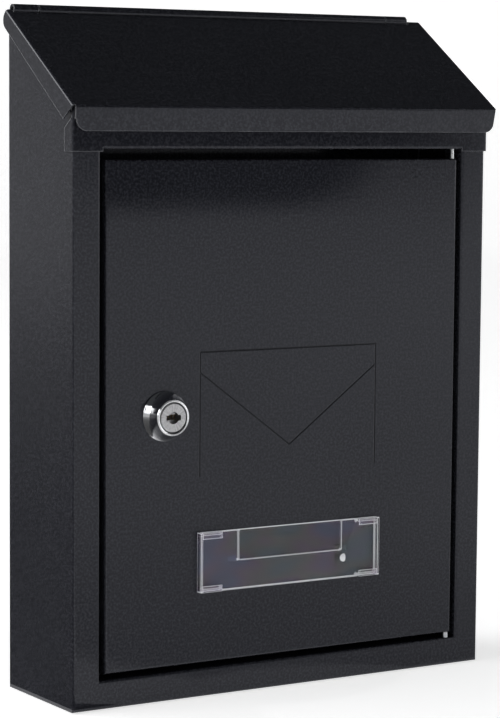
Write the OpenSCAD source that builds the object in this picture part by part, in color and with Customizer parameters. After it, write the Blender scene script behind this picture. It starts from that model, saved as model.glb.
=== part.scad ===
// Wall mounted mailbox in folded sheet steel, with a sloping rain lid and a locked front door.
// The origin is the middle of the four wall screws, on the wall plane. The front faces -Y.

/* [Body] */
// Width of the body across its side walls
body_w = 215; // [190:1:260]
// Depth of the body from the wall to the front face
body_d = 60; // [54:1:90]
// Height of the wall screws' middle above the underside of the floor
hole_mid_h = 125; // [120:1:130]
// Height of the lid hinge axis above the underside of the floor
hinge_h = 300.2; // [298:0.2:306]
// Thickness of every folded sheet
sheet_t = 0.8; // [0.6:0.1:1]
// Outside radius of every fold
bend_r = 1.2; // [1.1:0.1:2]
// Width of the upright stiles beside the door
stile_w = 13; // [11:0.5:16]
// Height of the rail below the door
rail_h = 12.6; // [10:0.2:16]
// Depth of the flanges folded in round the door opening
return_d = 12.5; // [11:0.5:13]

/* [Wall screws] */
// Spacing of the wall screw holes across
hole_dx = 150; // [120:1:160]
// Spacing of the wall screw holes in height
hole_dz = 180; // [140:1:190]
// Diameter of the wall screw holes
hole_d = 6; // [4:0.5:8]

/* [Header] */
// Height of the header's lower edge above the underside of the floor
header_low_h = 240.4; // [238:0.2:244]
// Height of the header's upper edge above the underside of the floor
header_top_h = 258; // [256:0.5:259]
// How far the header hangs lower where it crosses the stiles
header_drop = 1; // [0.5:0.1:2]
// Length of the tabs round the sides
tab_len = 7.8; // [6:0.2:12]
// Height of the rear edge of the tabs
tab_rear_h = 9.8; // [8:0.2:14]

/* [Lid] */
// Slope of the roof from the horizontal, in degrees
roof_slope = 33.7; // [30:0.1:35]
// How far the eave stands in front of the body
eave_overhang = 5.5; // [4:0.5:8]
// Width of the lid across its side flanges
lid_w = 221; // [219:1:226]
// Depth of the side flanges at the eave, square to the roof
flange_h = 9.8; // [8:0.2:11]
// Depth of the side flanges at the back, square to the roof
flange_rear_h = 7.4; // [6:0.2:9]
// Height of the front lip
lip_h = 10.6; // [8:0.2:12]
// How far the front lip leans in from upright, in degrees
lip_lean = 3; // [0:0.5:5]
// Diameter of the hinge rod
rod_d = 3; // [2.4:0.1:3.2]
// Length of each end knuckle
knuckle_l = 11.8; // [8:0.2:16]
// Distance between the outer ends of the end knuckles
knuckle_span = 209; // [200:0.2:210]
// How far the row of knuckles sits to one side of the middle
knuckle_shift = -2.7; // [-3:0.1:0]

/* [Door] */
// Gap between the door and the stiles
door_gap = 2.5; // [2:0.1:3]
// Height of the door's lower edge above the underside of the floor
door_low_h = 15.2; // [15:0.1:16]
// Height of the door's upper edge above the underside of the floor
door_top_h = 236; // [230:0.5:237]
// Depth of the flanges folded back round the door
door_return = 10; // [8:0.5:11]
// Diameter of the two hinge pins
pin_d = 1.8; // [1.6:0.1:2.4]
// Width of the engraved lines
line_w = 0.6; // [0.5:0.1:1]
// Depth of the engraved lines
line_depth = 0.2; // [0.1:0.05:0.4]
// Width of the envelope outline
envelope_w = 92.6; // [70:1:110]
// Height of the envelope's upper line above the underside of the floor
envelope_top_h = 152.5; // [145:0.5:165]

/* [Lock] */
// Distance of the lock axis from the middle of the body
lock_x = -63.1; // [-70:0.1:-62]
// Height of the lock axis above the underside of the floor
lock_h = 125.5; // [110:0.1:150]
// Length of the chrome head in front of the door
head_l = 8; // [6:0.5:9]
// Diameter of the head where it meets the door
head_d = 22; // [20:0.5:24]
// Diameter of the head's front face
face_d = 15.4; // [15:0.2:18]
// Diameter of the threaded barrel
barrel_d = 16; // [16:0.5:18]
// Length of the barrel behind the door's front face
barrel_l = 13; // [12.8:0.1:13.5]
// Length of the cam from the lock axis to its tip
cam_l = 37.5; // [35:0.5:40]

/* [Label] */
// Distance of the label holder and the envelope from the middle of the body
label_x = 1.1; // [-5:0.1:5]
// Width of the label holder
label_w = 94.6; // [80:1:110]
// Height of the label holder
label_h = 26.4; // [22:0.2:32]
// Height of the label holder's middle above the underside of the floor
label_mid_h = 60.1; // [45:1:80]
// Width of the thumb notch
notch_w = 54; // [40:1:60]
// Depth of the thumb notch from the upper edge
notch_h = 13.4; // [10:0.2:16]

/* [Hidden] */
$fn = 64;

// Colours
coat = "#2b2c30";
chrome = "#c9cbd0";
zinc = "#b9bcc0";
brass = "#c9a24e";
clear = "#aab4c055";

// Frame heights
bottom_z = -hole_mid_h;
hinge_z = bottom_z + hinge_h;
header_low = bottom_z + header_low_h;
header_top = bottom_z + header_top_h;
door_low = bottom_z + door_low_h;
door_top = bottom_z + door_top_h;
rail_top = bottom_z + rail_h;
inner_w = body_w - 2 * sheet_t;

// Size of cutting blocks, how far a cut runs past its surface, and the usual small clearance
big = 400;
over = 1;
slack = 0.1;

// Hinge of the lid: the knuckles are rolled from the sheet itself
roll_r = rod_d / 2 + sheet_t + slack;
hinge_y = -roll_r;
bore_fit = 0.08;
knuckle_mid = (knuckle_span - knuckle_l) / 2;
tongue_gap = 0.6;
tongue_w = knuckle_span - 2 * (knuckle_l + tongue_gap);
knuckle_clear = 0.6;

// Roof: the axis lies in the middle of the roof sheet
eave_y = -body_d - eave_overhang;
roof_l = (hinge_y - eave_y - sheet_t / 2 * sin(roof_slope)) / cos(roof_slope);
eave_z = hinge_z - roof_l * sin(roof_slope) + sheet_t / 2 * cos(roof_slope);
roof_tab_y = -0.7;
lip_w = lid_w - 2 * bend_r;
eave_turn = 90 - roof_slope + lip_lean;
eave_tangent = bend_r * tan(eave_turn / 2);
mitre = 26;
rest_gap = 0.3;
rear_round = 4.2;
lip_round = 5;
lip_trim = 0.6;
lip_slant = 1.6;
rear_clear = 0.3;

// Door opening and door
opening_w = body_w - 2 * stile_w;
door_w = opening_w - 2 * door_gap;
door_h = door_top - door_low;
pin_x = door_w / 2 - sheet_t - pin_d / 2 - slack;
pin_y = -body_d + sheet_t + pin_d / 2 + slack;
pin_fit = 0.06;
pin_reach = 4.2;
pin_tail = 0.8;
flap_drop = 9;
flap_depth = 43.1;
side_line_h = 54.5;

// Lock, measured outwards from the front face of the door
plug_d = 11;
plug_head_d = 12.6;
plug_head_l = 3;
plug_fit = 0.05;
washer_t = 0.8;
nut_t = 3;
nut_af = 19;
flat_w = 14;
tang_w = 7;
stop_t = 1;
cam_t = 1.8;
cam_w = 12;
cam_washer_t = 0.6;
cam_washer_d = 12;
screw_head_d = 7.2;
screw_head_h = 2.2;
screw_d = 3.2;
screw_l = 8;
plug_rear = -barrel_l - slack;
cam_front = plug_rear - stop_t;
cam_rear = cam_front - cam_t;
stop_sweep = 90;
stop_tab = 20;
stop_play = 1;
stop_depth = 1.8;
stop_in_r = 6.2;
wafer_count = 5;
wafer_pitch = 2.4;
wafer_first = 2;
wafer_t = 1.1;
wafer_slot = 1.3;
wafer_w = 9.4;
wafer_h = 5.2;
keyway_w = 7.2;
keyway_h = 2.4;
key_round_d = 5.2;
spring_d = 1.1;
spring_l = 3;
spring_turns = 4;
spring_y = 3.5;

// Label holder
base_t = 0.6;
cover_t = 2;
cover_skin = 1;
hook_t = 0.7;
hook_l = 11;
hook_reach = 2.8;
wall_t = 1;
leg_x = 28.6;
leg_w = 6;
leg_h = 2;

// ---------- helpers ----------

// Outline with its two front corners rounded: x is the width, y runs back from -d to 0
module front_rounded(w, d, r) {
    translate([-w / 2, -d + r])
        square([w, d - r]);
    translate([-w / 2 + r, -d])
        square([w - 2 * r, d]);
    for (x = [-w / 2 + r, w / 2 - r])
        translate([x, -d + r])
            circle(r = r);
}

// Block from depth -d to 0 with its front edges rounded, upright and level ones alike
module pan_block(w, d, low, high, r) {
    intersection() {
        translate([0, 0, low])
            linear_extrude(high - low)
                front_rounded(w, d, r);
        translate([0, 0, (low + high) / 2])
            rotate([0, -90, 0])
                linear_extrude(w, center = true)
                    front_rounded(high - low, d, r);
    }
}

// Quarter ring of sheet round the lower left of its own centre, turned by an angle
module sheet_bend(turn) {
    rotate([0, 0, turn])
        intersection() {
            difference() {
                circle(r = bend_r);
                circle(r = bend_r - sheet_t);
            }
            translate([-bend_r, -bend_r])
                square(bend_r);
        }
}

// Solid along X from an outline given as depth (Y) and height (Z)
module along_x(length) {
    rotate([90, 0, 90])
        linear_extrude(length, center = true)
            children();
}

// Round bar along X
module bar_x(r, length) {
    rotate([0, 90, 0])
        cylinder(r = r, h = length, center = true);
}

// Children in the lock's own frame: z runs outwards from the door's front face
module at_lock() {
    translate([lock_x, -body_d, bottom_z + lock_h])
        rotate([90, 0, 0])
            children();
}

// Point at a radius and an angle
function polar(r, angle) = r * [cos(angle), sin(angle)];

// Wedge between two angles, to cut a ring with
module wedge(from, to, r) {
    reach = r / cos((to - from) / 4);
    polygon([[0, 0], polar(r, from), polar(reach, (from + to) / 2), polar(r, to)]);
}

// Height of the side walls' top edge below the roof, at a depth y
function wall_top(y) = hinge_z + (y - hinge_y) * tan(roof_slope)
    - (sheet_t / 2 + rest_gap) / cos(roof_slope);

// Upright hole for a door pin, at a height
module pin_hole(d, z) {
    translate([pin_x, pin_y, z])
        cylinder(d = d, h = 4 * sheet_t, center = true);
}

// ---------- fixed body ----------

// Folded flanges round the two sides and the foot of the door opening
module opening_returns() {
    flange_top = header_low - slack;
    side = opening_w / 2;
    for (m = [0, 1])
        mirror([m, 0, 0])
            translate([0, 0, rail_top - bend_r])
                linear_extrude(flange_top - rail_top + bend_r)
                    union() {
                        translate([-side - bend_r, -body_d + bend_r])
                            sheet_bend(90);
                        translate([-side - sheet_t, -body_d + bend_r])
                            square([sheet_t, return_d - bend_r]);
                    }
    along_x(opening_w + 2 * bend_r)
        union() {
            translate([-body_d + bend_r, rail_top - bend_r])
                sheet_bend(-90);
            translate([-body_d + bend_r, rail_top - sheet_t])
                square([return_d - bend_r, sheet_t]);
        }
}

// Bent box before the roof slope and the door opening are cut away
module open_box() {
    inner_low = bottom_z + sheet_t;
    difference() {
        pan_block(body_w, body_d, bottom_z, hinge_z + big, bend_r);
        // Hollow, open at the back and the top
        pan_block(inner_w, body_d - sheet_t, inner_low, hinge_z + 2 * big, bend_r - sheet_t);
        translate([-inner_w / 2, -bend_r, inner_low])
            cube([inner_w, 2 * bend_r, 2 * big]);
    }
}

module body_shell() {
    front = -body_d - over;
    back_top = hinge_z - roll_r - over;
    notch_y = hinge_y - roll_r - knuckle_clear;
    color(coat)
        difference() {
            union() {
                difference() {
                    open_box();
                    // Side walls cut off along the roof, and the stiles behind the header
                    along_x(big)
                        polygon([[over, back_top], [notch_y, back_top], [notch_y, wall_top(notch_y)],
                                 [front, wall_top(front)], [front, 3 * big], [over, 3 * big]]);
                    translate([-big / 2, front, header_top - 2 * sheet_t])
                        cube([big, bend_r + over, 3 * big]);
                    // Door opening
                    translate([-opening_w / 2 - bend_r, front, rail_top - bend_r])
                        cube([opening_w + 2 * bend_r, bend_r + over, 3 * big]);
                }
                opening_returns();
            }
            pin_hole(pin_d, rail_top);
        }
}

module back_panel() {
    flange = 10;
    foot = bottom_z + sheet_t;
    sheet_low = foot + bend_r;
    sheet_top = hinge_z - roll_r - 1;
    flange_top = hinge_z - 14;
    color(coat)
        difference() {
            union() {
                // Back sheet, lower between the knuckles
                translate([-inner_w / 2 + bend_r, -sheet_t, sheet_low])
                    cube([inner_w - 2 * bend_r, sheet_t, sheet_top - sheet_low]);
                // Side flanges against the side walls
                for (m = [0, 1])
                    mirror([m, 0, 0])
                        translate([inner_w / 2, 0, sheet_low])
                            linear_extrude(flange_top - sheet_low)
                                union() {
                                    translate([-bend_r, -bend_r])
                                        sheet_bend(180);
                                    translate([-sheet_t, -flange])
                                        square([sheet_t, flange - bend_r]);
                                }
                // Foot flange on the floor
                translate([0, 0, foot])
                    along_x(inner_w - 2 * bend_r)
                        union() {
                            translate([-bend_r, bend_r])
                                sheet_bend(90);
                            translate([-flange, 0])
                                square([flange - bend_r, sheet_t]);
                        }
                // Rolled end knuckles
                for (side = [-1, 1])
                    translate([knuckle_shift + side * knuckle_mid, 0, 0]) {
                        translate([0, hinge_y, hinge_z])
                            bar_x(roll_r, knuckle_l);
                        translate([-knuckle_l / 2, -sheet_t, hinge_z - 2 * roll_r])
                            cube([knuckle_l, sheet_t, 2 * roll_r]);
                    }
            }
            translate([0, hinge_y, hinge_z])
                bar_x(rod_d / 2, big);
            for (x = [-1, 1], z = [-1, 1])
                translate([x * hole_dx / 2, 0, z * hole_dz / 2])
                    rotate([90, 0, 0])
                        cylinder(d = hole_d, h = 4 * sheet_t, center = true);
        }
}

module header_rail() {
    half = body_w / 2 + sheet_t;
    face = -body_d - sheet_t;
    low = header_low - header_drop;
    flange_w = opening_w - 1.2;
    top_w = body_w - 12;
    top_d = 6;
    tab_rear = low + tab_rear_h;
    tab_front = tab_rear + 4.6;
    color(coat)
        difference() {
            union() {
                difference() {
                    translate([0, 0, low])
                        linear_extrude(header_top - low)
                            difference() {
                                translate([0, face + body_d + sheet_t])
                                    front_rounded(2 * half, body_d + sheet_t, bend_r);
                                front_rounded(body_w, body_d, bend_r - sheet_t);
                                translate([-half, face + tab_len])
                                    square([2 * half, body_d]);
                            }
                    translate([-flange_w / 2, -big / 2, low - over])
                        cube([flange_w, big, header_drop + bend_r + over]);
                    translate([-top_w / 2, -big / 2, header_top - bend_r])
                        cube([top_w, big, big]);
                    // Slanted upper corners of the side tabs
                    along_x(big)
                        polygon([[face + bend_r, tab_front], [face + tab_len, tab_rear],
                                 [face + tab_len + over, tab_rear], [face + tab_len + over, low + big],
                                 [face + bend_r, low + big]]);
                }
                // Flange folded in over the door
                along_x(flange_w)
                    union() {
                        translate([face + bend_r, header_low + bend_r])
                            sheet_bend(0);
                        translate([face + bend_r, header_low])
                            square([return_d - bend_r, sheet_t]);
                    }
                // Flange folded in at the mail slot
                along_x(top_w)
                    union() {
                        translate([face + bend_r, header_top - bend_r])
                            sheet_bend(-90);
                        translate([face + bend_r, header_top - sheet_t])
                            square([top_d - bend_r, sheet_t]);
                    }
            }
            pin_hole(pin_d, header_low);
        }
}

module lid_rod() {
    color(zinc)
        translate([knuckle_shift, hinge_y, hinge_z])
            bar_x(rod_d / 2, knuckle_span);
}

module door_pin_top() {
    low = door_top - sheet_t - pin_reach;
    seat = header_low + sheet_t;
    color(zinc)
        translate([pin_x, pin_y, low])
            cylinder(d = pin_d, h = seat + pin_tail - low);
}

module door_pin_bottom() {
    seat = rail_top - sheet_t;
    collar_h = door_low - rail_top - slack;
    color(zinc)
        translate([pin_x, pin_y, 0]) {
            translate([0, 0, seat - pin_tail])
                cylinder(d = pin_d, h = door_low + sheet_t + pin_reach - seat + pin_tail);
            translate([0, 0, rail_top])
                cylinder(d = pin_d + sheet_t, h = collar_h);
        }
}

// ---------- lid ----------

// Outline of a side flange in the roof's own frame: y runs along the slope, z is square to it
module flange_outline() {
    top = sheet_t / 2;
    low = top - flange_rear_h;
    round_z = low + rear_round;
    round_y = (-rear_clear - rear_round - hinge_y + round_z * sin(roof_slope)) / cos(roof_slope);
    translate([round_y, round_z])
        circle(r = rear_round);
    polygon([[-roof_l + eave_tangent, top], [roof_tab_y, top], [round_y + rear_round, round_z],
             [round_y, round_z], [round_y, low],
             [-roof_l + flange_h * tan(mitre), top - flange_h]]);
}

// Section of the roof sheet and its front lip: y runs along the slope, z is square to it
module roof_section() {
    roll_y = -roll_r - knuckle_clear;
    fold = [-roof_l + eave_tangent, sheet_t / 2 - bend_r];
    translate([fold[0], -sheet_t / 2])
        square([roll_y - fold[0], sheet_t]);
    translate(fold)
        intersection() {
            difference() {
                circle(r = bend_r);
                circle(r = bend_r - sheet_t);
            }
            wedge(90, 90 + eave_turn + over, 2 * bend_r);
        }
    translate(fold)
        rotate([0, 0, eave_turn])
            translate([-lip_h + eave_tangent, bend_r - sheet_t])
                square([lip_h - eave_tangent, sheet_t]);
}

// Roof sheet with its rolled middle knuckle, cut back round the end knuckles
module roof_sheet() {
    roll_y = -roll_r - knuckle_clear;
    along_x(lip_w)
        roof_section();
    translate([knuckle_shift - tongue_w / 2, roll_y, -sheet_t / 2])
        cube([tongue_w, -roll_y, sheet_t]);
    translate([knuckle_shift, 0, 0])
        bar_x(rod_d / 2 + bore_fit + sheet_t, tongue_w);
    for (side = [-1, 1]) {
        end = side * lip_w / 2;
        inner = knuckle_shift + side * (knuckle_span / 2 + knuckle_clear);
        translate([min(end, inner), roll_y, -sheet_t / 2])
            cube([abs(end - inner), roof_tab_y - roll_y, sheet_t]);
    }
}

// Folded side flanges
module lid_flanges() {
    for (m = [0, 1])
        mirror([m, 0, 0])
            intersection() {
                rotate([90, 0, 0])
                    linear_extrude(roof_l + over)
                        union() {
                            translate([lid_w / 2 - bend_r, sheet_t / 2 - bend_r])
                                sheet_bend(180);
                            translate([lid_w / 2 - sheet_t, -big / 2])
                                square([sheet_t, big / 2 + sheet_t / 2 - bend_r]);
                        }
                along_x(big)
                    flange_outline();
            }
}

// What is cut from the front lip: its round lower corners and its slanted right end
module lip_corners() {
    deep = 2 * bend_r;
    translate([0, eave_y - over + deep, eave_z])
        rotate([90, 0, 0])
            linear_extrude(deep) {
                difference() {
                    translate([-big / 2, -lip_h - over])
                        square([big, lip_round + over]);
                    front_rounded(lip_w - 2 * lip_trim, lip_h, lip_round);
                }
                polygon([[lip_w / 2, -bend_r], [lip_w / 2 + over, -bend_r],
                         [lip_w / 2 + over, -lip_h - over], [lip_w / 2 - lip_slant, -lip_h - over]]);
            }
}

module lid() {
    color(coat)
        difference() {
            translate([0, hinge_y, hinge_z])
                rotate([roof_slope, 0, 0])
                    difference() {
                        union() {
                            roof_sheet();
                            lid_flanges();
                        }
                        translate([knuckle_shift, 0, 0])
                            bar_x(rod_d / 2 + bore_fit, tongue_w + over);
                    }
            lip_corners();
        }
}

// ---------- door ----------

// Engraved line on the door's front face between two points given as [x, z]
module engraved(from, to) {
    run = to - from;
    translate([from[0], -body_d, from[1]])
        rotate([0, -atan2(run[1], run[0]), 0])
            translate([0, 0, -line_w / 2])
                cube([norm(run), 2 * line_depth, line_w]);
}

// Lines of the envelope: upper edge, two sides and the pointed flap
module envelope_lines() {
    left = label_x - envelope_w / 2;
    right = label_x + envelope_w / 2;
    top = bottom_z + envelope_top_h;
    tip = [label_x, top - flap_depth];
    translate([0, -line_depth, 0]) {
        engraved([left, top], [right, top]);
        engraved([left, top - flap_drop], tip);
        engraved([right, top - flap_drop], tip);
        engraved([left, top], [left, top - side_line_h]);
        engraved([right, top], [right, top - side_line_h]);
    }
}

// Round hole with two flats that stop the lock turning
module double_flat(d, flats) {
    intersection() {
        circle(d = d);
        square([flats, 2 * d], center = true);
    }
}

module door() {
    pan_w = door_w - 2 * sheet_t;
    pan_low = door_low + sheet_t;
    pan_top = door_top - sheet_t;
    color(coat)
        difference() {
            translate([0, -body_d + door_return, 0])
                pan_block(door_w, door_return, door_low, door_top, bend_r);
            translate([0, -body_d + door_return, 0])
                pan_block(pan_w, door_return - sheet_t, pan_low, pan_top, bend_r - sheet_t);
            translate([-pan_w / 2, -body_d + bend_r, pan_low])
                cube([pan_w, big, pan_top - pan_low]);
            envelope_lines();
            at_lock()
                linear_extrude(4 * sheet_t, center = true)
                    double_flat(barrel_d + slack, flat_w + slack);
            for (z = [door_low, door_top])
                pin_hole(pin_d + 2 * pin_fit, z);
            for (side = [-1, 1])
                translate([label_x + side * leg_x, -body_d, bottom_z + label_mid_h])
                    cube([leg_w + 2 * slack, 4 * sheet_t, leg_h + 2 * slack], center = true);
        }
}

// ---------- lock ----------

module lock_housing() {
    rim_t = 0.8;
    edge = 0.4;
    groove_t = 2;
    wafer_mid = wafer_first - (wafer_count - 1) * wafer_pitch / 2;
    color(chrome)
        at_lock()
            difference() {
                union() {
                    rotate_extrude()
                        polygon([[0, 0], [head_d / 2, 0], [head_d / 2, rim_t],
                                 [face_d / 2 + edge, head_l - edge], [face_d / 2 - edge, head_l],
                                 [0, head_l]]);
                    translate([0, 0, -barrel_l])
                        linear_extrude(barrel_l)
                            double_flat(barrel_d, flat_w);
                }
                translate([0, 0, -barrel_l - over])
                    cylinder(d = plug_d + 2 * plug_fit, h = barrel_l + head_l);
                translate([0, 0, head_l - plug_head_l - slack])
                    cylinder(d = plug_head_d + 2 * plug_fit, h = plug_head_l + over);
                // Grooves that the wafers spring into when the key is drawn
                for (side = [-1, 1])
                    translate([0, side * plug_d / 2, wafer_mid])
                        cube([wafer_h + 2 * slack, groove_t, wafer_count * wafer_pitch], center = true);
                // Notch in the rear rim for the tab of the stop washer
                translate([0, 0, -barrel_l - over])
                    linear_extrude(over + stop_depth + slack)
                        stop_ring(stop_sweep + stop_tab + 2 * stop_play, stop_in_r, barrel_d);
            }
}

// Part of a ring about +x, between an inner radius and an outer radius
module stop_ring(angle, inner, outer) {
    intersection() {
        difference() {
            circle(r = outer);
            circle(r = inner);
        }
        wedge(-angle / 2, angle / 2, 2 * outer);
    }
}

module lock_washer() {
    tooth_count = 16;
    tooth = 1;
    outer = nut_af / 2 + tooth;
    color(zinc)
        at_lock()
            translate([0, 0, -sheet_t - washer_t])
                linear_extrude(washer_t)
                    difference() {
                        circle(r = outer);
                        circle(d = barrel_d + slack);
                        for (i = [0 : tooth_count - 1])
                            rotate([0, 0, i * 360 / tooth_count])
                                translate([outer, 0])
                                    square([2 * tooth, tooth], center = true);
                    }
}

module lock_nut() {
    color(zinc)
        at_lock()
            translate([0, 0, -sheet_t - washer_t - nut_t])
                linear_extrude(nut_t)
                    difference() {
                        circle(d = nut_af / cos(30), $fn = 6);
                        circle(d = barrel_d + slack);
                    }
}

// Slot for one wafer with the pocket for its spring
module wafer_space(t) {
    lug_travel = 1;
    translate([-wafer_w / 2 - over, -wafer_h / 2 - slack / 2, -t / 2])
        cube([wafer_w + 2 * over, wafer_h + slack, t]);
    translate([-spring_l / 2 - slack, 0, -t / 2])
        cube([spring_l + lug_travel + 2 * slack, spring_y + spring_d / 2 + slack, t]);
}

module lock_plug() {
    bevel = 0.3;
    step = head_l - plug_head_l;
    color(chrome)
        at_lock()
            difference() {
                union() {
                    rotate_extrude()
                        polygon([[0, plug_rear], [plug_d / 2, plug_rear], [plug_d / 2, step],
                                 [plug_head_d / 2, step], [plug_head_d / 2, head_l - bevel],
                                 [plug_head_d / 2 - bevel, head_l], [0, head_l]]);
                    translate([0, 0, (plug_rear + cam_rear) / 2 + slack])
                        cube([tang_w, tang_w, plug_rear - cam_rear], center = true);
                }
                // Keyway with its round mouth
                translate([-keyway_w / 2, -keyway_h / 2, plug_rear + screw_l])
                    cube([keyway_w, keyway_h, big]);
                translate([0, 0, step])
                    cylinder(d = key_round_d, h = plug_head_l + over);
                for (i = [0 : wafer_count - 1])
                    translate([0, 0, wafer_first - i * wafer_pitch])
                        wafer_space(wafer_slot);
                translate([0, 0, cam_rear - over])
                    cylinder(d = screw_d, h = screw_l + slack);
            }
}

module wafers() {
    window_w = 7.4;
    window_h = 2.8;
    lug_w = 0.8;
    color(brass)
        at_lock()
            for (i = [0 : wafer_count - 1])
                translate([0, 0, wafer_first - i * wafer_pitch])
                    linear_extrude(wafer_t, center = true)
                        difference() {
                            union() {
                                square([wafer_w, wafer_h], center = true);
                                translate([spring_l / 2, 0])
                                    square([lug_w, spring_y + spring_d / 2]);
                            }
                            square([window_w, window_h], center = true);
                        }
}

// One coil spring along X beside each wafer, its wire drawn as a short arc that turns as it rises
module wafer_springs() {
    wire = 0.2;
    arc = 70;
    step = arc / 2;
    steps_per_turn = 12;
    outer = spring_d / 2;
    arc_points = [for (a = [-arc : step : arc]) polar(outer, a)];
    back_points = [for (a = [arc : -step : -arc]) polar(outer - wire, a)];
    color(zinc)
        at_lock()
            for (i = [0 : wafer_count - 1])
                translate([-spring_l / 2, spring_y, wafer_first - i * wafer_pitch])
                    rotate([0, 90, 0])
                        linear_extrude(spring_l - slack, twist = 360 * spring_turns,
                                       slices = steps_per_turn * spring_turns, $fn = 6)
                            polygon(concat(arc_points, back_points));
}

module stop_washer() {
    color(zinc)
        at_lock() {
            translate([0, 0, cam_front])
                linear_extrude(stop_t)
                    difference() {
                        circle(d = barrel_d - 2 * slack);
                        square(tang_w, center = true);
                    }
            rotate([0, 0, stop_sweep / 2])
                translate([0, 0, plug_rear])
                    linear_extrude(stop_depth)
                        stop_ring(stop_tab, stop_in_r + slack, barrel_d / 2 - slack);
        }
}

module lock_cam() {
    hub_r = 8.5;
    color(zinc)
        at_lock()
            translate([0, 0, cam_rear])
                linear_extrude(cam_t)
                    difference() {
                        union() {
                            circle(r = hub_r);
                            translate([-cam_w / 2, -cam_l + cam_w / 2])
                                square([cam_w, cam_l - cam_w / 2]);
                            translate([0, -cam_l + cam_w / 2])
                                circle(d = cam_w);
                        }
                        square(tang_w, center = true);
                    }
}

module cam_washer() {
    color(zinc)
        at_lock()
            translate([0, 0, cam_rear - cam_washer_t])
                linear_extrude(cam_washer_t)
                    difference() {
                        circle(d = cam_washer_d);
                        circle(d = screw_d + slack);
                    }
}

module cam_screw() {
    seat = cam_rear - cam_washer_t;
    cross_w = 1;
    cross_l = 4;
    color(zinc)
        at_lock()
            difference() {
                union() {
                    translate([0, 0, seat - screw_head_h])
                        cylinder(d1 = screw_head_d - 2, d2 = screw_head_d, h = screw_head_h);
                    translate([0, 0, seat])
                        cylinder(d = screw_d, h = screw_l - over);
                }
                for (turn = [0, 90])
                    rotate([0, 0, turn])
                        translate([0, 0, seat - screw_head_h])
                            cube([cross_l, cross_w, screw_head_h], center = true);
            }
}

// ---------- label holder ----------

// Children in the label's own frame: x across, y up, z outwards from the door's front face
module at_label() {
    translate([label_x, -body_d, bottom_z + label_mid_h])
        rotate([90, 0, 0])
            children();
}

module label_base() {
    hook_z = base_t + cover_t + slack;
    barb = 0.5;
    color(clear)
        at_label() {
            translate([-label_w / 2, -label_h / 2, 0])
                cube([label_w, label_h, base_t]);
            // End walls
            for (side = [-1, 1])
                translate([side * (label_w - wall_t) / 2, 0, (hook_z + hook_t) / 2])
                    cube([wall_t, label_h, hook_z + hook_t], center = true);
            // Corner hooks: a wall along the edge and a lip over the cover
            for (x = [-1, 1], y = [-1, 1])
                translate([x * (label_w - hook_l) / 2, y * label_h / 2, 0]) {
                    translate([-hook_l / 2, -wall_t * (1 + y) / 2, 0])
                        cube([hook_l, wall_t, hook_z + hook_t]);
                    translate([-hook_l / 2, -hook_reach * (1 + y) / 2, hook_z])
                        cube([hook_l, hook_reach, hook_t]);
                }
            // Legs that snap behind the door sheet
            for (side = [-1, 1])
                translate([side * leg_x, 0, 0]) {
                    translate([0, 0, -sheet_t])
                        cube([leg_w, leg_h, 2 * sheet_t], center = true);
                    translate([0, barb / 2, -sheet_t - slack - barb])
                        cube([leg_w, leg_h + barb, 2 * barb], center = true);
                }
        }
}

// Cover outline: x across, y up; the notch is open at the top and the ends fit between the hooks
module cover_outline(inset) {
    play = 0.2;
    w = label_w - 2 * (wall_t + play + inset);
    h = label_h - 2 * inset;
    hook_cut = wall_t + play;
    difference() {
        square([w, h], center = true);
        translate([-notch_w / 2 - inset, label_h / 2 - notch_h - inset])
            square([notch_w + 2 * inset, label_h]);
        for (x = [-1, 1], y = [-1, 1])
            translate([x * label_w / 2, y * label_h / 2])
                square([2 * (hook_l + play + inset), 2 * (hook_cut + inset)], center = true);
    }
}

module label_cover() {
    rim = 0.8;
    color(clear)
        at_label()
            translate([0, 0, base_t + slack / 2])
                difference() {
                    linear_extrude(cover_t)
                        cover_outline(0);
                    translate([0, 0, -over])
                        linear_extrude(over + cover_t - cover_skin)
                            cover_outline(rim);
                }
}

body_shell();
back_panel();
header_rail();
lid_rod();
door_pin_top();
door_pin_bottom();
lid();
door();
lock_housing();
lock_washer();
lock_nut();
label_base();
label_cover();
lock_plug();
wafers();
wafer_springs();
stop_washer();
lock_cam();
cam_washer();
cam_screw();
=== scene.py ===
import math

import bpy
import numpy as np
from mathutils import Matrix, Vector


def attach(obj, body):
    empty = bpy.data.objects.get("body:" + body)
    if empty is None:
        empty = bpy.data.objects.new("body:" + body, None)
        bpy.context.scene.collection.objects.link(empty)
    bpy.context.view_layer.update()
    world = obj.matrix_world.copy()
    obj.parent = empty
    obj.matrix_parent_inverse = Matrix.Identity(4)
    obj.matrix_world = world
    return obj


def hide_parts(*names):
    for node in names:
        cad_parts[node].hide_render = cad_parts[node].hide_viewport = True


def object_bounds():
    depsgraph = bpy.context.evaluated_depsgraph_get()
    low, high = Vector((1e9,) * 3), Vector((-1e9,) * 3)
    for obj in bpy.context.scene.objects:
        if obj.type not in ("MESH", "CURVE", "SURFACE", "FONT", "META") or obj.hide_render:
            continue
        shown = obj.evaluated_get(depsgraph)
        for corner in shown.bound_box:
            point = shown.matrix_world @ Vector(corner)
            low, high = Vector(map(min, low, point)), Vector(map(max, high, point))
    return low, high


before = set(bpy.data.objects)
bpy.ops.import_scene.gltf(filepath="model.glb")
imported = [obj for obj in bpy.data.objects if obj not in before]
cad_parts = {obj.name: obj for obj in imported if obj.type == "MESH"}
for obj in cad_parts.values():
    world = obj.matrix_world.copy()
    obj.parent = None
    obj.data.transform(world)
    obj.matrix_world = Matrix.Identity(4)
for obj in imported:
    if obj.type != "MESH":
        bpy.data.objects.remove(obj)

cad_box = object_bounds()
MM = 0.001
FULL_TURN = 2 * math.pi

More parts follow.
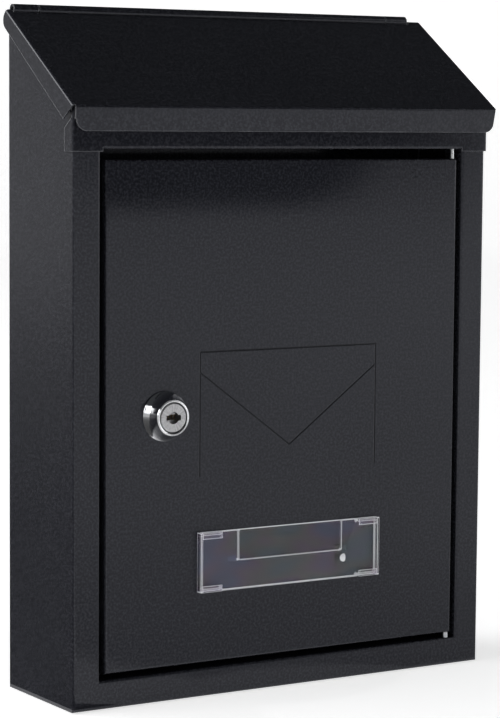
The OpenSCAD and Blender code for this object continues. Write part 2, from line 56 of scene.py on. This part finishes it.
# How a sheet falls back between two heights, and the X where the fall starts and where it is full, in metres
DOOR_CROWN = {"low": 0.084, "top": 0.111, "fall": 0.0009, "start": 0.060, "full": -0.005}
HEADER_CROWN = {"low": 0.1115, "top": 0.1345, "fall": 0.0011, "start": 0.300, "full": 0.115}

# Where the lock's and the label holder's middles meet the door, in millimetres
LOCK = (-63.1, -60.0, 0.5)
LABEL = (1.1, -60.0, -64.9)

# A part drawn facing the viewer: its x goes to the right, its y up and its z out of the door
OUTWARDS = ((0, 1), (2, -1), (1, 1))

# The rim mark of faces that lie behind the rest of a clear part, so that they stay almost unseen
BEHIND = -0.13


# ---------- finishes ----------


class Finish:
    """A material: each call to add() puts in a node, sets its sockets and returns its output."""

    def __init__(self, name, **sockets):
        self.material = bpy.data.materials.new(name)
        self.material.use_nodes = True
        self.tree = self.material.node_tree
        self.shader = self.tree.nodes["Principled BSDF"]
        self.fill(self.shader, sockets)

    def fill(self, node, sockets):
        """Wires an output to a socket, or sets a value; a_b stands for 'A B', and n0 for socket 0."""
        for key, value in sockets.items():
            number = key[0] == "n" and key[1:].isdigit()
            socket = node.inputs[int(key[1:])] if number else node.inputs[key.replace("_", " ")]
            if isinstance(value, bpy.types.NodeSocket):
                self.tree.links.new(value, socket)
            else:
                socket.default_value = value

    def add(self, kind, out=0, settings=None, **sockets):
        node = self.tree.nodes.new("ShaderNode" + kind)
        for key, value in (settings or {}).items():
            setattr(node, key, value)
        self.fill(node, sockets)
        return node.outputs[out]

    def coords(self):
        """Object coordinates as they are."""
        return self.add("TexCoord", out=3)

    def place(self, scale=(1, 1, 1), turn=(0, 0, 0)):
        """Object coordinates, stretched and turned."""
        return self.add("Mapping", Vector=self.coords(), Scale=scale, Rotation=turn)

    def noise(self, scale, detail=2.0, rough=0.5, where=None):
        where = where or self.place()
        return self.add("TexNoise", Vector=where, Scale=scale, Detail=detail, Roughness=rough)

    def math(self, kind, a, b=0.0):
        return self.add("Math", settings={"operation": kind}, n0=a, n1=b)

    def span(self, value, low, high, to_low, to_high):
        """The value carried from one range to another, held at the ends."""
        return self.add("MapRange", Value=value, n1=low, n2=high, n3=to_low, n4=to_high)

    def mix(self, share, a, b):
        """A blend of two colours."""
        return self.add("Mix", out=2, settings={"data_type": "RGBA"}, n0=share, n6=a, n7=b)

    def edges(self, radius, low, high):
        """1 on edges tighter than the radius and 0 on flats, with the softened normal."""
        soft = self.add("Bevel", settings={"samples": 6}, Radius=radius)
        true = self.add("NewGeometry", out=1)
        product = {"operation": "DOT_PRODUCT"}
        meet = self.add("VectorMath", out=1, settings=product, n0=soft, n1=true)
        return self.span(meet, high, low, 0.0, 1.0), soft

    def crease_shade_mask(self, reach, low, high):
        """1 in corners that the piece itself shelters within the reach, and 0 in the open: a mask for painted
        shade.
        """
        sampling = {"samples": 12, "only_local": True}
        openness = self.add("AmbientOcclusion", out=1, settings=sampling, Distance=reach)
        return self.span(openness, high, low, 0.0, 1.0)

    def bump(self, height, strength, distance, normal=None):
        sockets = {"Height": height, "Strength": strength, "Distance": distance}
        if normal:
            sockets["Normal"] = normal
        return self.add("Bump", **sockets)

    def crowned(self, crown, normal):
        """The normal of a sheet that falls back by fall t^2 s: t runs 0 to 1 up it, s eases 0 to 1 across."""
        across, up = (self.add("SeparateXYZ", out=axis, Vector=self.coords()) for axis in (0, 2))
        t = self.span(up, crown["low"], crown["top"], 0.0, 1.0)
        side = self.add("MapRange", settings={"interpolation_type": "SMOOTHSTEP"},
                        Value=across, n1=crown["start"], n2=crown["full"], n3=0.0, n4=-crown["fall"])
        height = self.math("MULTIPLY", self.math("MULTIPLY", t, t), side)
        return self.bump(height, 1.0, 1.0, normal)


def powder_coat(name="black_coat", crown=None, highlight_share=1.0):
    """Black satin powder coat: orange-peel skin, faint clouds of tone, a painted highlight on the
    edges and painted shade in creases.

    A crown lets the sheet fall back towards its upper fold. The highlight share sets how pale the
    painted edge highlight is."""
    black, lighter_black = (0.0080, 0.0084, 0.0114, 1), (0.0102, 0.0107, 0.0142, 1)
    grain_grey, highlight_grey = (0.037, 0.038, 0.045, 1), (0.27, 0.275, 0.29, 1)
    crease_shade_black, crease_shade_dulling = (0.004, 0.004, 0.005, 1), 0.45
    f = Finish(name)
    skin = f.noise(1500.0, detail=3.0, rough=0.6)
    grain = f.noise(900.0, detail=1.5, rough=0.6)
    peel = f.noise(420.0, detail=2.0, rough=0.6)
    cloud = f.noise(14.0, detail=3.0, rough=0.55)
    edge_mask, soft = f.edges(0.5 * MM, 0.86, 0.995)
    # Painted highlight: the edges are lightened in patches, standing in for the light their rounding catches.
    edge_highlight = f.math("MULTIPLY", edge_mask, f.span(f.noise(160.0, detail=3.0), 0.35, 0.7, 0.40, 1.0))
    # Painted shade: sheltered grooves and corners are darkened to near black, as if in shade.
    crease_shade = f.crease_shade_mask(0.50 * MM, 0.72, 0.97)
    colour = f.mix(f.span(cloud, 0.3, 0.7, 0.0, 1.0), black, lighter_black)
    colour = f.mix(f.span(grain, 0.42, 0.72, 0.0, 0.60), colour, grain_grey)
    # The painted edge highlight is mixed into the colour here.
    colour = f.mix(f.math("MULTIPLY", edge_highlight, 0.75 * highlight_share), colour, highlight_grey)
    # The painted shade darkens the colour and, through metallic and roughness, dulls the reflection there.
    colour = f.mix(crease_shade, colour, crease_shade_black)
    shade_dulling = f.math("MULTIPLY", crease_shade, crease_shade_dulling)
    rough = f.math("ADD", f.span(cloud, 0.3, 0.7, 0.085, 0.115), f.span(skin, 0.3, 0.7, -0.03, 0.03))
    if crown:
        soft = f.crowned(crown, soft)
    normal = f.bump(peel, 0.36, 0.06 * MM, f.bump(skin, 0.70, 0.03 * MM, soft))
    f.fill(f.shader, {"Base Color": colour, "Metallic": shade_dulling, "Normal": normal,
                      "Roughness": f.math("ADD", rough, shade_dulling),
                      "Specular IOR Level": 0.33, "Specular Tint": (0.90, 0.92, 1.0, 1)})
    return f.material


def plated_zinc():
    """Bright zinc plate: fine brushed streaks, a faint blue cast and duller spots."""
    dull, bright, rubbed = (0.58, 0.60, 0.63, 1), (0.74, 0.75, 0.76, 1), (0.85, 0.86, 0.87, 1)
    f = Finish("zinc", Metallic=1.0)
    streak = f.noise(500.0, detail=3.0, where=f.place(scale=(0.15, 1, 1)))
    spots = f.noise(220.0, detail=4.0, rough=0.6)
    edge_mask, soft = f.edges(0.25 * MM, 0.80, 0.995)
    colour = f.mix(f.span(spots, 0.35, 0.65, 0.0, 1.0), dull, bright)
    f.fill(f.shader, {"Base Color": f.mix(f.math("MULTIPLY", edge_mask, 0.4), colour, rubbed),
                      "Roughness": f.span(streak, 0.3, 0.7, 0.24, 0.38),
                      "Normal": f.bump(streak, 0.15, 0.02 * MM, soft)})
    return f.material


def polished_chrome():
    """Chrome plate: mirror bright, with faint polishing haze and fine hairline scratches."""
    blue_grey, silver = (0.80, 0.81, 0.84, 1), (0.88, 0.89, 0.90, 1)
    f = Finish("chrome", Metallic=1.0)
    haze = f.noise(60.0, detail=3.0)
    scratch = f.noise(900.0, where=f.place(scale=(0.06, 1, 1), turn=(0.3, 0.2, 0.6)))
    soft = f.edges(0.2 * MM, 0.80, 0.995)[1]
    hazy, scratched = f.span(haze, 0.3, 0.7, 0.06, 0.12), f.span(scratch, 0.55, 0.75, 0.0, 0.06)
    f.fill(f.shader, {"Base Color": f.mix(f.span(haze, 0.35, 0.65, 0.0, 1.0), blue_grey, silver),
                      "Roughness": f.math("ADD", hazy, scratched),
                      "Normal": f.bump(scratch, 0.05, 0.01 * MM, soft)})
    return f.material


def brushed_plug():
    """Plug metal: a turned face whose fine grain runs out from the lock's axis."""
    dark, bright, rubbed = (0.34, 0.34, 0.35, 1), (0.60, 0.60, 0.61, 1), (0.85, 0.85, 0.86, 1)
    rays = 46.0
    f = Finish("plug_metal", Metallic=1.0)
    centred = f.add("Mapping", settings={"vector_type": "TEXTURE"}, Vector=f.coords(),
                    Location=tuple(MM * x for x in LOCK), Rotation=(math.pi / 2, 0, 0))
    way = f.add("TexGradient", out=1, settings={"gradient_type": "RADIAL"}, Vector=centred)
    ray = f.add("TexNoise", settings={"noise_dimensions": "1D"}, W=f.math("MULTIPLY", way, rays),
                Scale=1.0, Detail=3.0, Roughness=0.7)
    grain = f.noise(1300.0, detail=3.0, rough=0.6)
    mixed = f.math("ADD", f.math("MULTIPLY", ray, 0.6), f.math("MULTIPLY", grain, 0.4))
    edge_mask, soft = f.edges(0.14 * MM, 0.80, 0.995)
    colour = f.mix(f.span(mixed, 0.35, 0.65, 0.0, 1.0), dark, bright)
    f.fill(f.shader, {"Base Color": f.mix(edge_mask, colour, rubbed),
                      "Roughness": f.span(mixed, 0.3, 0.7, 0.28, 0.44),
                      "Normal": f.bump(mixed, 0.2, 0.03 * MM, soft)})
    return f.material


def stamped_brass():
    """Stamped brass: warm, with a duller tarnish in clouds."""
    tarnished, yellow = (0.62, 0.42, 0.15, 1), (0.80, 0.60, 0.26, 1)
    f = Finish("brass", Metallic=1.0)
    cloud = f.noise(300.0, detail=3.0)
    f.fill(f.shader, {"Base Color": f.mix(f.span(cloud, 0.35, 0.65, 0.0, 1.0), tarnished, yellow),
                      "Roughness": f.span(cloud, 0.3, 0.7, 0.22, 0.42),
                      "Normal": f.bump(cloud, 0.1, 0.02 * MM)})
    return f.material


def clear_plastic(name, veil):
    """Clear styrene: see-through but for a veil of painted reflection in faint rainbow bands, with
    painted highlights on its edges and some haze.
    """
    # Tints of the painted rainbow sheen.
    sheen_tints = (
        (0.30, (0.42, 0.40, 0.58, 1)), (0.40, (0.34, 0.44, 0.50, 1)), (0.48, (0.47, 0.46, 0.44, 1)),
        (0.55, (0.50, 0.38, 0.54, 1)), (0.63, (0.34, 0.40, 0.62, 1)), (0.72, (0.42, 0.42, 0.52, 1)),
    )
    pale, rim_highlight_cover = (0.90, 0.91, 0.94, 1), 0.85
    f = Finish(name, IOR=1.55)
    haze = f.noise(90.0, detail=3.0)
    sheen_pattern = f.noise(55.0, detail=1.0, where=f.place(scale=(0.6, 1, 1.3), turn=(0, 0.5, 0)))
    bands = f.add("ValToRGB", Fac=sheen_pattern)
    ramp = bands.node.color_ramp
    ramp.elements[0].position, ramp.elements[0].color = sheen_tints[0]
    ramp.elements[1].position, ramp.elements[1].color = sheen_tints[-1]
    for stop, tint in sheen_tints[1:-1]:
        ramp.elements.new(stop).color = tint
    # Painted highlight: faces on thin rims turn pale and more opaque, standing in for the light clear edges
    # catch.
    rim = f.add("Attribute", out=2, settings={"attribute_name": "rim"})
    # Painted reflection: the veil's tinted grey stands in for the sheet's sheen, its bands for its faint
    # rainbow.
    cover = f.span(haze, 0.3, 0.7, 0.85 * veil, 1.15 * veil)
    f.fill(f.shader, {"Base Color": f.mix(rim, bands, pale),
                      "Roughness": f.span(haze, 0.3, 0.7, 0.06, 0.14),
                      "Alpha": f.math("ADD", cover, f.math("MULTIPLY", rim, rim_highlight_cover)),
                      "Normal": f.bump(haze, 0.05, 0.05 * MM)})
    return f.material


def studio_paint(name, tone, glow, far_glow=None, near=0.0, far=1.0, middle=(0, 0, 0)):
    """Matt paint of one tone with a faint mottle, whose glow may change with the distance from a middle."""
    f = Finish(name, Roughness=0.9)
    mottle = f.noise(3.0, detail=3.0)
    pale, dark = (tone, tone, tone, 1), (0.96 * tone, 0.96 * tone, 0.96 * tone, 1)
    if far_glow is not None:
        distance = {"operation": "DISTANCE"}
        away = f.add("VectorMath", out=1, settings=distance, n0=f.place(), n1=middle)
        glow = f.span(away, near, far, glow, far_glow)
    colour = f.mix(f.span(mottle, 0.3, 0.7, 0.0, 1.0), pale, dark)
    f.fill(f.shader, {"Base Color": colour, "Emission Color": (1, 1, 1, 1), "Emission Strength": glow})
    return f.material


FINISHES = {
    "black_coat": powder_coat(),
    "chrome": polished_chrome(),
    "plug_metal": brushed_plug(),
    "zinc": plated_zinc(),
    "brass": stamped_brass(),
    "clear_plastic": clear_plastic("clear_plastic", 0.135),
    "clear_window": clear_plastic("clear_window", 0.015),
}
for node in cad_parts.values():
    for place in node.material_slots:
        place.material = FINISHES[place.material.name.split(".")[0]]
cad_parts["door"].material_slots[0].material = powder_coat("door_coat", DOOR_CROWN, highlight_share=0.15)
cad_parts["header_rail"].material_slots[0].material = powder_coat("header_coat", HEADER_CROWN, highlight_share=1.2)


# ---------- making pieces ----------


# The rim mark drives the clear finish's painted highlight on thin edges.
def mark_highlight_rims(mesh, faint):
    """Keeps on each face how much of an edge it is: 1 where 2 area / perimeter, its width, is small.

    The last faces, as many as faint says, lie behind the others and are kept almost clear instead."""
    widest, fade = 0.40 * MM, 0.12 * MM
    count, corners = len(mesh.polygons), len(mesh.loops)
    area, start, total = np.empty(count), np.empty(count, int), np.empty(count, int)
    at, vertex = np.empty(3 * len(mesh.vertices)), np.empty(corners, int)
    mesh.polygons.foreach_get("area", area)
    mesh.polygons.foreach_get("loop_start", start)
    mesh.polygons.foreach_get("loop_total", total)
    mesh.vertices.foreach_get("co", at)
    mesh.loops.foreach_get("vertex_index", vertex)
    following = np.arange(corners) + 1
    following[start + total - 1] = start
    at = at.reshape(-1, 3)[vertex]
    side_lengths = np.linalg.norm(at[following] - at, axis=1)
    width = 2 * area / np.add.reduceat(side_lengths, start)
    rim = np.clip((widest - width) / fade, 0.0, 1.0)
    rim[count - faint:] = BEHIND
    mesh.attributes.new("rim", "FLOAT", "FACE").data.foreach_set("value", rim)


def piece(name, parts, slot, body, replaces, finish=None, faint=0):
    """One object from several (vertices, faces) parts, standing for CAD nodes on a body."""
    starts = np.cumsum([0] + [len(xyz) for xyz, faces in parts[:-1]])
    points = np.concatenate([xyz for xyz, faces in parts])
    faces = [[int(corner) + int(start) for corner in face]
             for (xyz, own_faces), start in zip(parts, starts) for face in own_faces]
    mesh = bpy.data.meshes.new(name)
    mesh.from_pydata(points.tolist(), [], faces)
    mesh.materials.append(FINISHES[finish or slot])
    mesh.shade_smooth()
    mesh.set_sharp_from_angle(angle=math.radians(35))
    thing = bpy.data.objects.new(name, mesh)
    bpy.context.scene.collection.objects.link(thing)
    mark_highlight_rims(mesh, faint)
    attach(thing, body)
    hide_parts(*replaces)


def grid_faces(rows, columns, wrap_rows=False, wrap_columns=False):
    """Quads of a grid of rows and columns, joined round on itself where it wraps."""
    row, column = np.arange(rows - (not wrap_rows)), np.arange(columns - (not wrap_columns))
    i, j = np.meshgrid(row, column, indexing="ij")
    below, beside = (i + 1) % rows, (j + 1) % columns
    quads = [i * columns + j, i * columns + beside, below * columns + beside, below * columns + j]
    return np.stack(quads, -1).reshape(-1, 4)


def around(sides):
    """Even angles of a full turn, without its end."""
    return np.linspace(0, FULL_TURN, sides + 1)[:-1]


def filleted(corners, radius, steps=4):
    """A closed outline with its corners eased: each is a parabola from p - r u to p + r v.

    u and v are the unit ways in and out of the corner p; a point is (1-t)^2 a + 2t(1-t) p + t^2 b."""
    p = np.asarray(corners, float)
    u = p - np.roll(p, 1, 0)
    v = np.roll(p, -1, 0) - p
    u /= np.linalg.norm(u, axis=1, keepdims=True)
    v /= np.linalg.norm(v, axis=1, keepdims=True)
    t = np.linspace(0, 1, steps + 1)[None, :, None]
    a, b, p = (p - radius * u)[:, None], (p + radius * v)[:, None], p[:, None]
    return ((1 - t) ** 2 * a + 2 * t * (1 - t) * p + t ** 2 * b).reshape(-1, 2)


def inset(outline, depth):
    """The outline moved inwards by depth (m + n) / (1 + m.n), m and n the inward normals at each point."""
    along = np.roll(outline, -1, 0) - outline
    along /= np.linalg.norm(along, axis=1, keepdims=True)
    n = np.stack([-along[:, 1], along[:, 0]], -1)
    m = np.roll(n, 1, 0)
    return outline + depth * (m + n) / (1 + (m * n).sum(1, keepdims=True))


def stacked(outlines, levels):
    """Outlines of the same count, each set at its own level."""
    return np.stack([np.c_[ring, np.full(len(ring), z)] for ring, z in zip(outlines, levels)])


def plate(outline, low, high, ease, band=0.0):
    """A solid of one outline between two levels, its rims eased by a quarter round carried along it.

    Ring k is the outline inset by ease (1 - sin a) at low + ease (1 - cos a), and the same at the top.
    A band marks off a strip of the wall beside each rim."""
    a = np.linspace(0, math.pi / 2, 3)
    depth, level = ease * (1 - np.sin(a)), ease * (1 - np.cos(a))
    if band:
        depth, level = np.append(depth, 0.0), np.append(level, band + ease)
    depths = np.concatenate([depth, depth[::-1]])
    levels = np.concatenate([low + level, high - level[::-1]])
    rings = stacked([inset(outline, d) for d in depths], levels)
    count = len(outline)
    faces = grid_faces(len(rings), count, wrap_columns=True).tolist()
    faces.append(list(range(count))[::-1])
    faces.append(list(range((len(rings) - 1) * count, len(rings) * count)))
    return rings.reshape(-1, 3), faces


def oriented(part, order, mid):
    """A part's own axes carried to the frame's: order picks and signs them, and mid is its origin."""
    xyz, faces = part
    turn = np.zeros((3, 3))
    for row, (axis, sign) in enumerate(order):
        turn[row, axis] = sign
    flip = np.linalg.det(turn) < 0
    return xyz @ turn.T * MM + np.asarray(mid) * MM, [f[::-1] for f in faces] if flip else faces


# ---------- lock ----------


def lock_head():
    """The lock's chrome head and threaded barrel, a profile (r, z) turned about the lock's axis.

    On the barrel r is barrel_r - crest (1 + cos(2 pi z / pitch - a)), cut to |r cos a| < flat by its
    two flats. Behind the stop washer's travel it drops to root_r where the washer's tab sweeps."""
    barrel_r, crest, pitch, flat, root_r = 8.0, 0.15, 1.0, 7.0, 6.2
    travel, sweep = -11.1, math.radians(56.0)
    a = np.unique(np.concatenate([around(96), np.array([sweep, -sweep]) % FULL_TURN]))
    head = np.array([
        (8.0, 0.0), (10.75, 0.0), (10.93, 0.08), (11.0, 0.25), (11.0, 0.62), (10.92, 0.80), (10.72, 0.95),
        (9.2, 4.15), (8.10, 6.85), (8.00, 7.30), (7.90, 7.60), (7.76, 7.78), (7.66, 7.80), (7.60, 7.74),
        (7.54, 7.74), (7.46, 7.90), (7.34, 8.0), (7.0, 8.0), (6.88, 7.95), (6.80, 7.80),
        (6.72, 7.2), (6.36, 6.4), (6.36, 4.9), (5.55, 4.9), (5.55, -13.0), (6.05, -13.0),
    ])
    barrel_z = np.concatenate([
        [-13.0], np.arange(-12.99, -11.2, 0.21), [travel], np.arange(-11.09, -0.3, 0.1), [-0.25]])
    barrel = np.stack([np.full(len(barrel_z), barrel_r), barrel_z], -1)
    profile = np.concatenate([barrel, head])
    r, z = (np.repeat(column[:, None], len(a), 1) for column in profile.T)
    threaded = (np.arange(len(profile)) < len(barrel))[:, None]
    thread = r - crest * (1 + np.cos(FULL_TURN * z / pitch - a))
    cut = np.minimum(thread, flat / np.maximum(np.abs(np.cos(a)), 1e-6))
    way = (a + math.pi) % FULL_TURN - math.pi
    swept = (np.abs(way) < sweep) & (z < travel)
    r = np.where(threaded, np.where(swept, root_r, cut), r)
    xyz = np.stack([r * np.cos(a), r * np.sin(a), z], -1).reshape(-1, 3)
    faces = grid_faces(len(profile), len(a), wrap_rows=True, wrap_columns=True).tolist()
    piece("lock_head", [oriented((xyz, faces), OUTWARDS, LOCK)], "chrome", "door", ["lock_housing"])


lock_head()


# ---------- hinge rod ----------


def hinge_rod():
    """The lid's hinge rod: a profile (r, x) turned about its axis, ends eased and sunk in the knuckles."""
    half, r, ease, tip, middle = 103.2, 1.5, 0.35, 0.001, (-2.7, -2.4, 175.2)
    bend = np.linspace(0, math.pi / 2, 5)
    end_r = np.concatenate([[tip], r - ease + ease * np.sin(bend)])
    end_x = np.concatenate([[half], half - ease + ease * np.cos(bend)])
    radius = np.concatenate([end_r, end_r[::-1]])[:, None]
    along = np.concatenate([end_x, -end_x[::-1]])[:, None]
    a = around(32)
    rings = np.stack([radius * np.cos(a), radius * np.sin(a), along + 0 * a], -1)
    faces = grid_faces(len(radius), len(a), wrap_columns=True)[:, ::-1].tolist()
    count = len(radius) * len(a)
    faces += [list(range(len(a))), list(range(count - len(a), count))[::-1]]
    rod = oriented((rings.reshape(-1, 3), faces), ((2, 1), (0, 1), (1, 1)), middle)
    piece("hinge_rod", [rod], "zinc", "body", ["lid_rod"])


hinge_rod()


# ---------- label holder ----------


def label_window():
    """The clear cover: an outline with a thumb notch and four hook recesses, a skin over a thin rim.

    The moulding's gate mark on it is a dome, (reach cos b cos a, half_gate cos b sin a, rise sin b),
    with a longer reach on its left side."""
    half_w, half_h, hook_x, hook_y, notch_x, notch_y = 46.1, 13.2, 36.1, 12.0, 27.0, -0.2
    right = [(hook_x, -half_h), (hook_x, -hook_y), (half_w, -hook_y), (half_w, hook_y),
             (hook_x, hook_y), (hook_x, half_h), (notch_x, half_h), (notch_x, notch_y)]
    left = [(-x, y) for x, y in right[::-1]]
    outline = filleted(right + left, 0.5)
    skin = plate(outline, 1.55, 2.65, 0.18)
    inner = inset(outline, 0.8)
    rim = stacked([outline, outline, inset(outline, 0.12), inner, inner], [1.62, 0.8, 0.66, 0.66, 1.62])
    wall = (rim.reshape(-1, 3), grid_faces(len(rim), len(outline), wrap_columns=True)[:, ::-1].tolist())
    gate_x, gate_y, gate_z, rise, left_reach, right_reach, half_gate = 28.4, -3.9, 2.64, 0.45, 2.2, 0.9, 1.9
    a = around(24)
    b = np.linspace(0, 1, 6)[:, None] * math.pi / 2
    reach = np.where(np.cos(a) < 0, left_reach, right_reach)
    dome = np.stack([gate_x + np.cos(b) * reach * np.cos(a), gate_y + np.cos(b) * half_gate * np.sin(a),
                     gate_z + rise * np.sin(b) + 0 * a], -1)
    gate = (dome.reshape(-1, 3), grid_faces(len(b), len(a), wrap_columns=True).tolist())
    parts = [oriented(part, OUTWARDS, LABEL) for part in (skin, wall, gate)]
    piece("label_window", parts, "clear_plastic", "door", ["label_cover"], "clear_window")


def label_tray():
    """The clear holder: a tray of one U section carried up its height, four hooks, two snap legs behind."""
    half_w, half_h, floor, wall, deep = 47.3, 13.2, 0.6, 1, 3.4
    hook_from, hook_long, pip_x, pip_z, leg_x = 36.3, 9.98, 36.9, 10.9, 28.6
    section = [(-half_w, 0), (half_w, 0), (half_w, deep), (half_w - wall, deep), (half_w - wall, floor),
               (wall - half_w, floor), (wall - half_w, deep), (-half_w, deep)]
    tray = plate(filleted(section, 0.15), -half_h, half_h, 0.12, 0.26)
    parts = [oriented(tray, ((0, 1), (1, -1), (2, 1)), LABEL)]
    hook = filleted([(0, 0.62), (1.0, 0.62), (1.0, 2.72), (2.8, 2.72), (2.8, deep), (0, deep)], 0.15)
    bar = plate(hook, 0, hook_long, 0.12)
    pip = plate(filleted([(-0.55, -0.55), (0.55, -0.55), (0.55, 0.55), (-0.55, 0.55)], 0.5), 3.2, deep, 0.1)
    x, y, z = LABEL
    for side in (-1, 1):
        start = hook_from if side > 0 else -(hook_from + hook_long)
        for end in (-1, 1):
            parts.append(oriented(bar, ((2, 1), (1, -1), (0, -end)), (x + start, y, z + end * half_h)))
            parts.append(oriented(pip, OUTWARDS, (x + side * pip_x, y, z + end * pip_z)))
    leg = filleted([(-1, -0.02), (-1, -1.9), (1.5, -1.9), (1.5, -1.3), (1.0, -0.9), (1.0, -0.02)], 0.1)
    legs = [oriented(plate(leg, -3, 3, 0.1), ((2, 1), (1, -1), (0, 1)), (x + side * leg_x, y, z))
            for side in (-1, 1)]
    behind = sum(len(faces) for xyz, faces in legs)
    piece("label_tray", parts + legs, "clear_plastic", "door", ["label_base"], faint=behind)


label_window()
label_tray()


# ---------- studio ----------


def turned(profile, start, end, sides):
    """Vertices and faces of a profile of (radius, height) carried round the Z axis between two angles.

    Each vertex is (radius cos a, radius sin a, height), on an even grid of a."""
    profile = np.asarray(profile, float)
    a = np.linspace(start, end, sides + 1)
    radius, height = profile[:, :1], profile[:, 1:]
    xyz = np.stack(np.broadcast_arrays(radius * np.cos(a), radius * np.sin(a), height), -1)
    return xyz.reshape(-1, 3), grid_faces(len(profile), sides + 1)


def stage_piece(name, xyz, quads, finish):
    mesh = bpy.data.meshes.new(name)
    mesh.from_pydata(xyz.tolist(), [], quads.tolist())
    mesh.shade_smooth()
    mesh.materials.append(finish)
    thing = bpy.data.objects.new(name, mesh)
    bpy.context.scene.collection.objects.link(thing)
    return thing


def reflection_card(name, profile, start, end, finish):
    """A curved card that is only there for reflections: it throws no shadow and isn't seen itself."""
    card = stage_piece(name, *turned(profile, math.radians(start), math.radians(end), 48), finish)
    card.visible_camera = card.visible_shadow = card.visible_diffuse = False


def studio(floor_z):
    """A round pale floor whose rim sweeps up, and three cards that shape what the glossy coat reflects.

    The rim is a quarter round, (flat + sweep sin a, floor_z + sweep (1 - cos a))."""
    flat, sweep, card_z = 4.0, 1.6, floor_z + 0.002
    a = np.linspace(0, math.pi / 2, 24)
    rim = np.stack([flat + sweep * np.sin(a), floor_z + sweep * (1 - np.cos(a))], -1)
    profile = np.concatenate([[[0.001, floor_z], [0.5, floor_z], [1.5, floor_z]], rim])
    stage_piece("studio_floor", *turned(profile, 0, FULL_TURN, 96), studio_paint("studio_white", 0.8, 0.68))
    black = studio_paint("studio_black", 0.02, 0.0)
    reflection_card("front_flag", [[3.8, 0.035], [3.8, 3.0]], -150, -51, black)
    shade = studio_paint("studio_front_shade", 0.6, 0.30, far_glow=0.68, near=0.20, far=0.60,
                         middle=(-0.25, -0.15, -0.12))
    reflection_card("near_floor", [[0.09, card_z], [1.2, card_z]], -110, -30, shade)
    shade = studio_paint("studio_left_shade", 0.05, 0.02, far_glow=0.42, near=0.5, far=3.9)
    reflection_card("left_flag", [[0.04, card_z], [4.0, card_z], [5.3, 0.8]], 95, 215, shade)


def soft_box(name, place, aim, size, power):
    """An area lamp at a place, aimed at a point."""
    lamp = bpy.data.lights.new(name, "AREA")
    lamp.shape = "RECTANGLE"
    lamp.size, lamp.size_y = size
    lamp.energy = power
    thing = bpy.data.objects.new(name, lamp)
    bpy.context.scene.collection.objects.link(thing)
    thing.location = place
    thing.rotation_euler = (Vector(aim) - Vector(place)).to_track_quat("-Z", "Y").to_euler()
    thing.visible_camera = False


def studio_air():
    """Dim, slightly blue surroundings above the sweep."""
    world = bpy.data.worlds.new("studio_air")
    bpy.context.scene.world = world
    world.use_nodes = True
    back = world.node_tree.nodes["Background"]
    back.inputs["Color"].default_value = (0.9, 0.95, 1.0, 1)
    back.inputs["Strength"].default_value = 0.04


def camera():
    """A long lens at the eye's place, turned by yaw, pitch and roll in degrees."""
    eye, film, lens = (-0.60924, -1.00219, 0.12921), 36, 127.26
    yaw, pitch, roll = (math.radians(angle) for angle in (32.034, -5.44, 0.439))
    ahead = Vector((math.sin(yaw) * math.cos(pitch), math.cos(yaw) * math.cos(pitch), math.sin(pitch)))
    right = Vector((math.cos(yaw), -math.sin(yaw), 0))
    up = right.cross(ahead)
    across = math.cos(roll) * right + math.sin(roll) * up
    above = math.cos(roll) * up - math.sin(roll) * right
    data = bpy.data.cameras.new("camera")
    data.sensor_width, data.lens = film, lens
    thing = bpy.data.objects.new("camera", data)
    bpy.context.scene.collection.objects.link(thing)
    turn = Matrix((across, above, -ahead)).transposed().to_4x4()
    thing.matrix_world = Matrix.Translation(eye) @ turn
    bpy.context.scene.camera = thing


studio(cad_box[0].z - 0.0005)
studio_air()
soft_box("left_wall", (-2.6, 1.0, 1.5), (0, 0, 0.2), (4.4, 1.4), 95)
soft_box("right_wall", (2.4, -2.0, 0.9), (0, 0, 0), (1.2, 2.0), 10)
camera()
bpy.context.scene.view_settings.view_transform = "Standard"
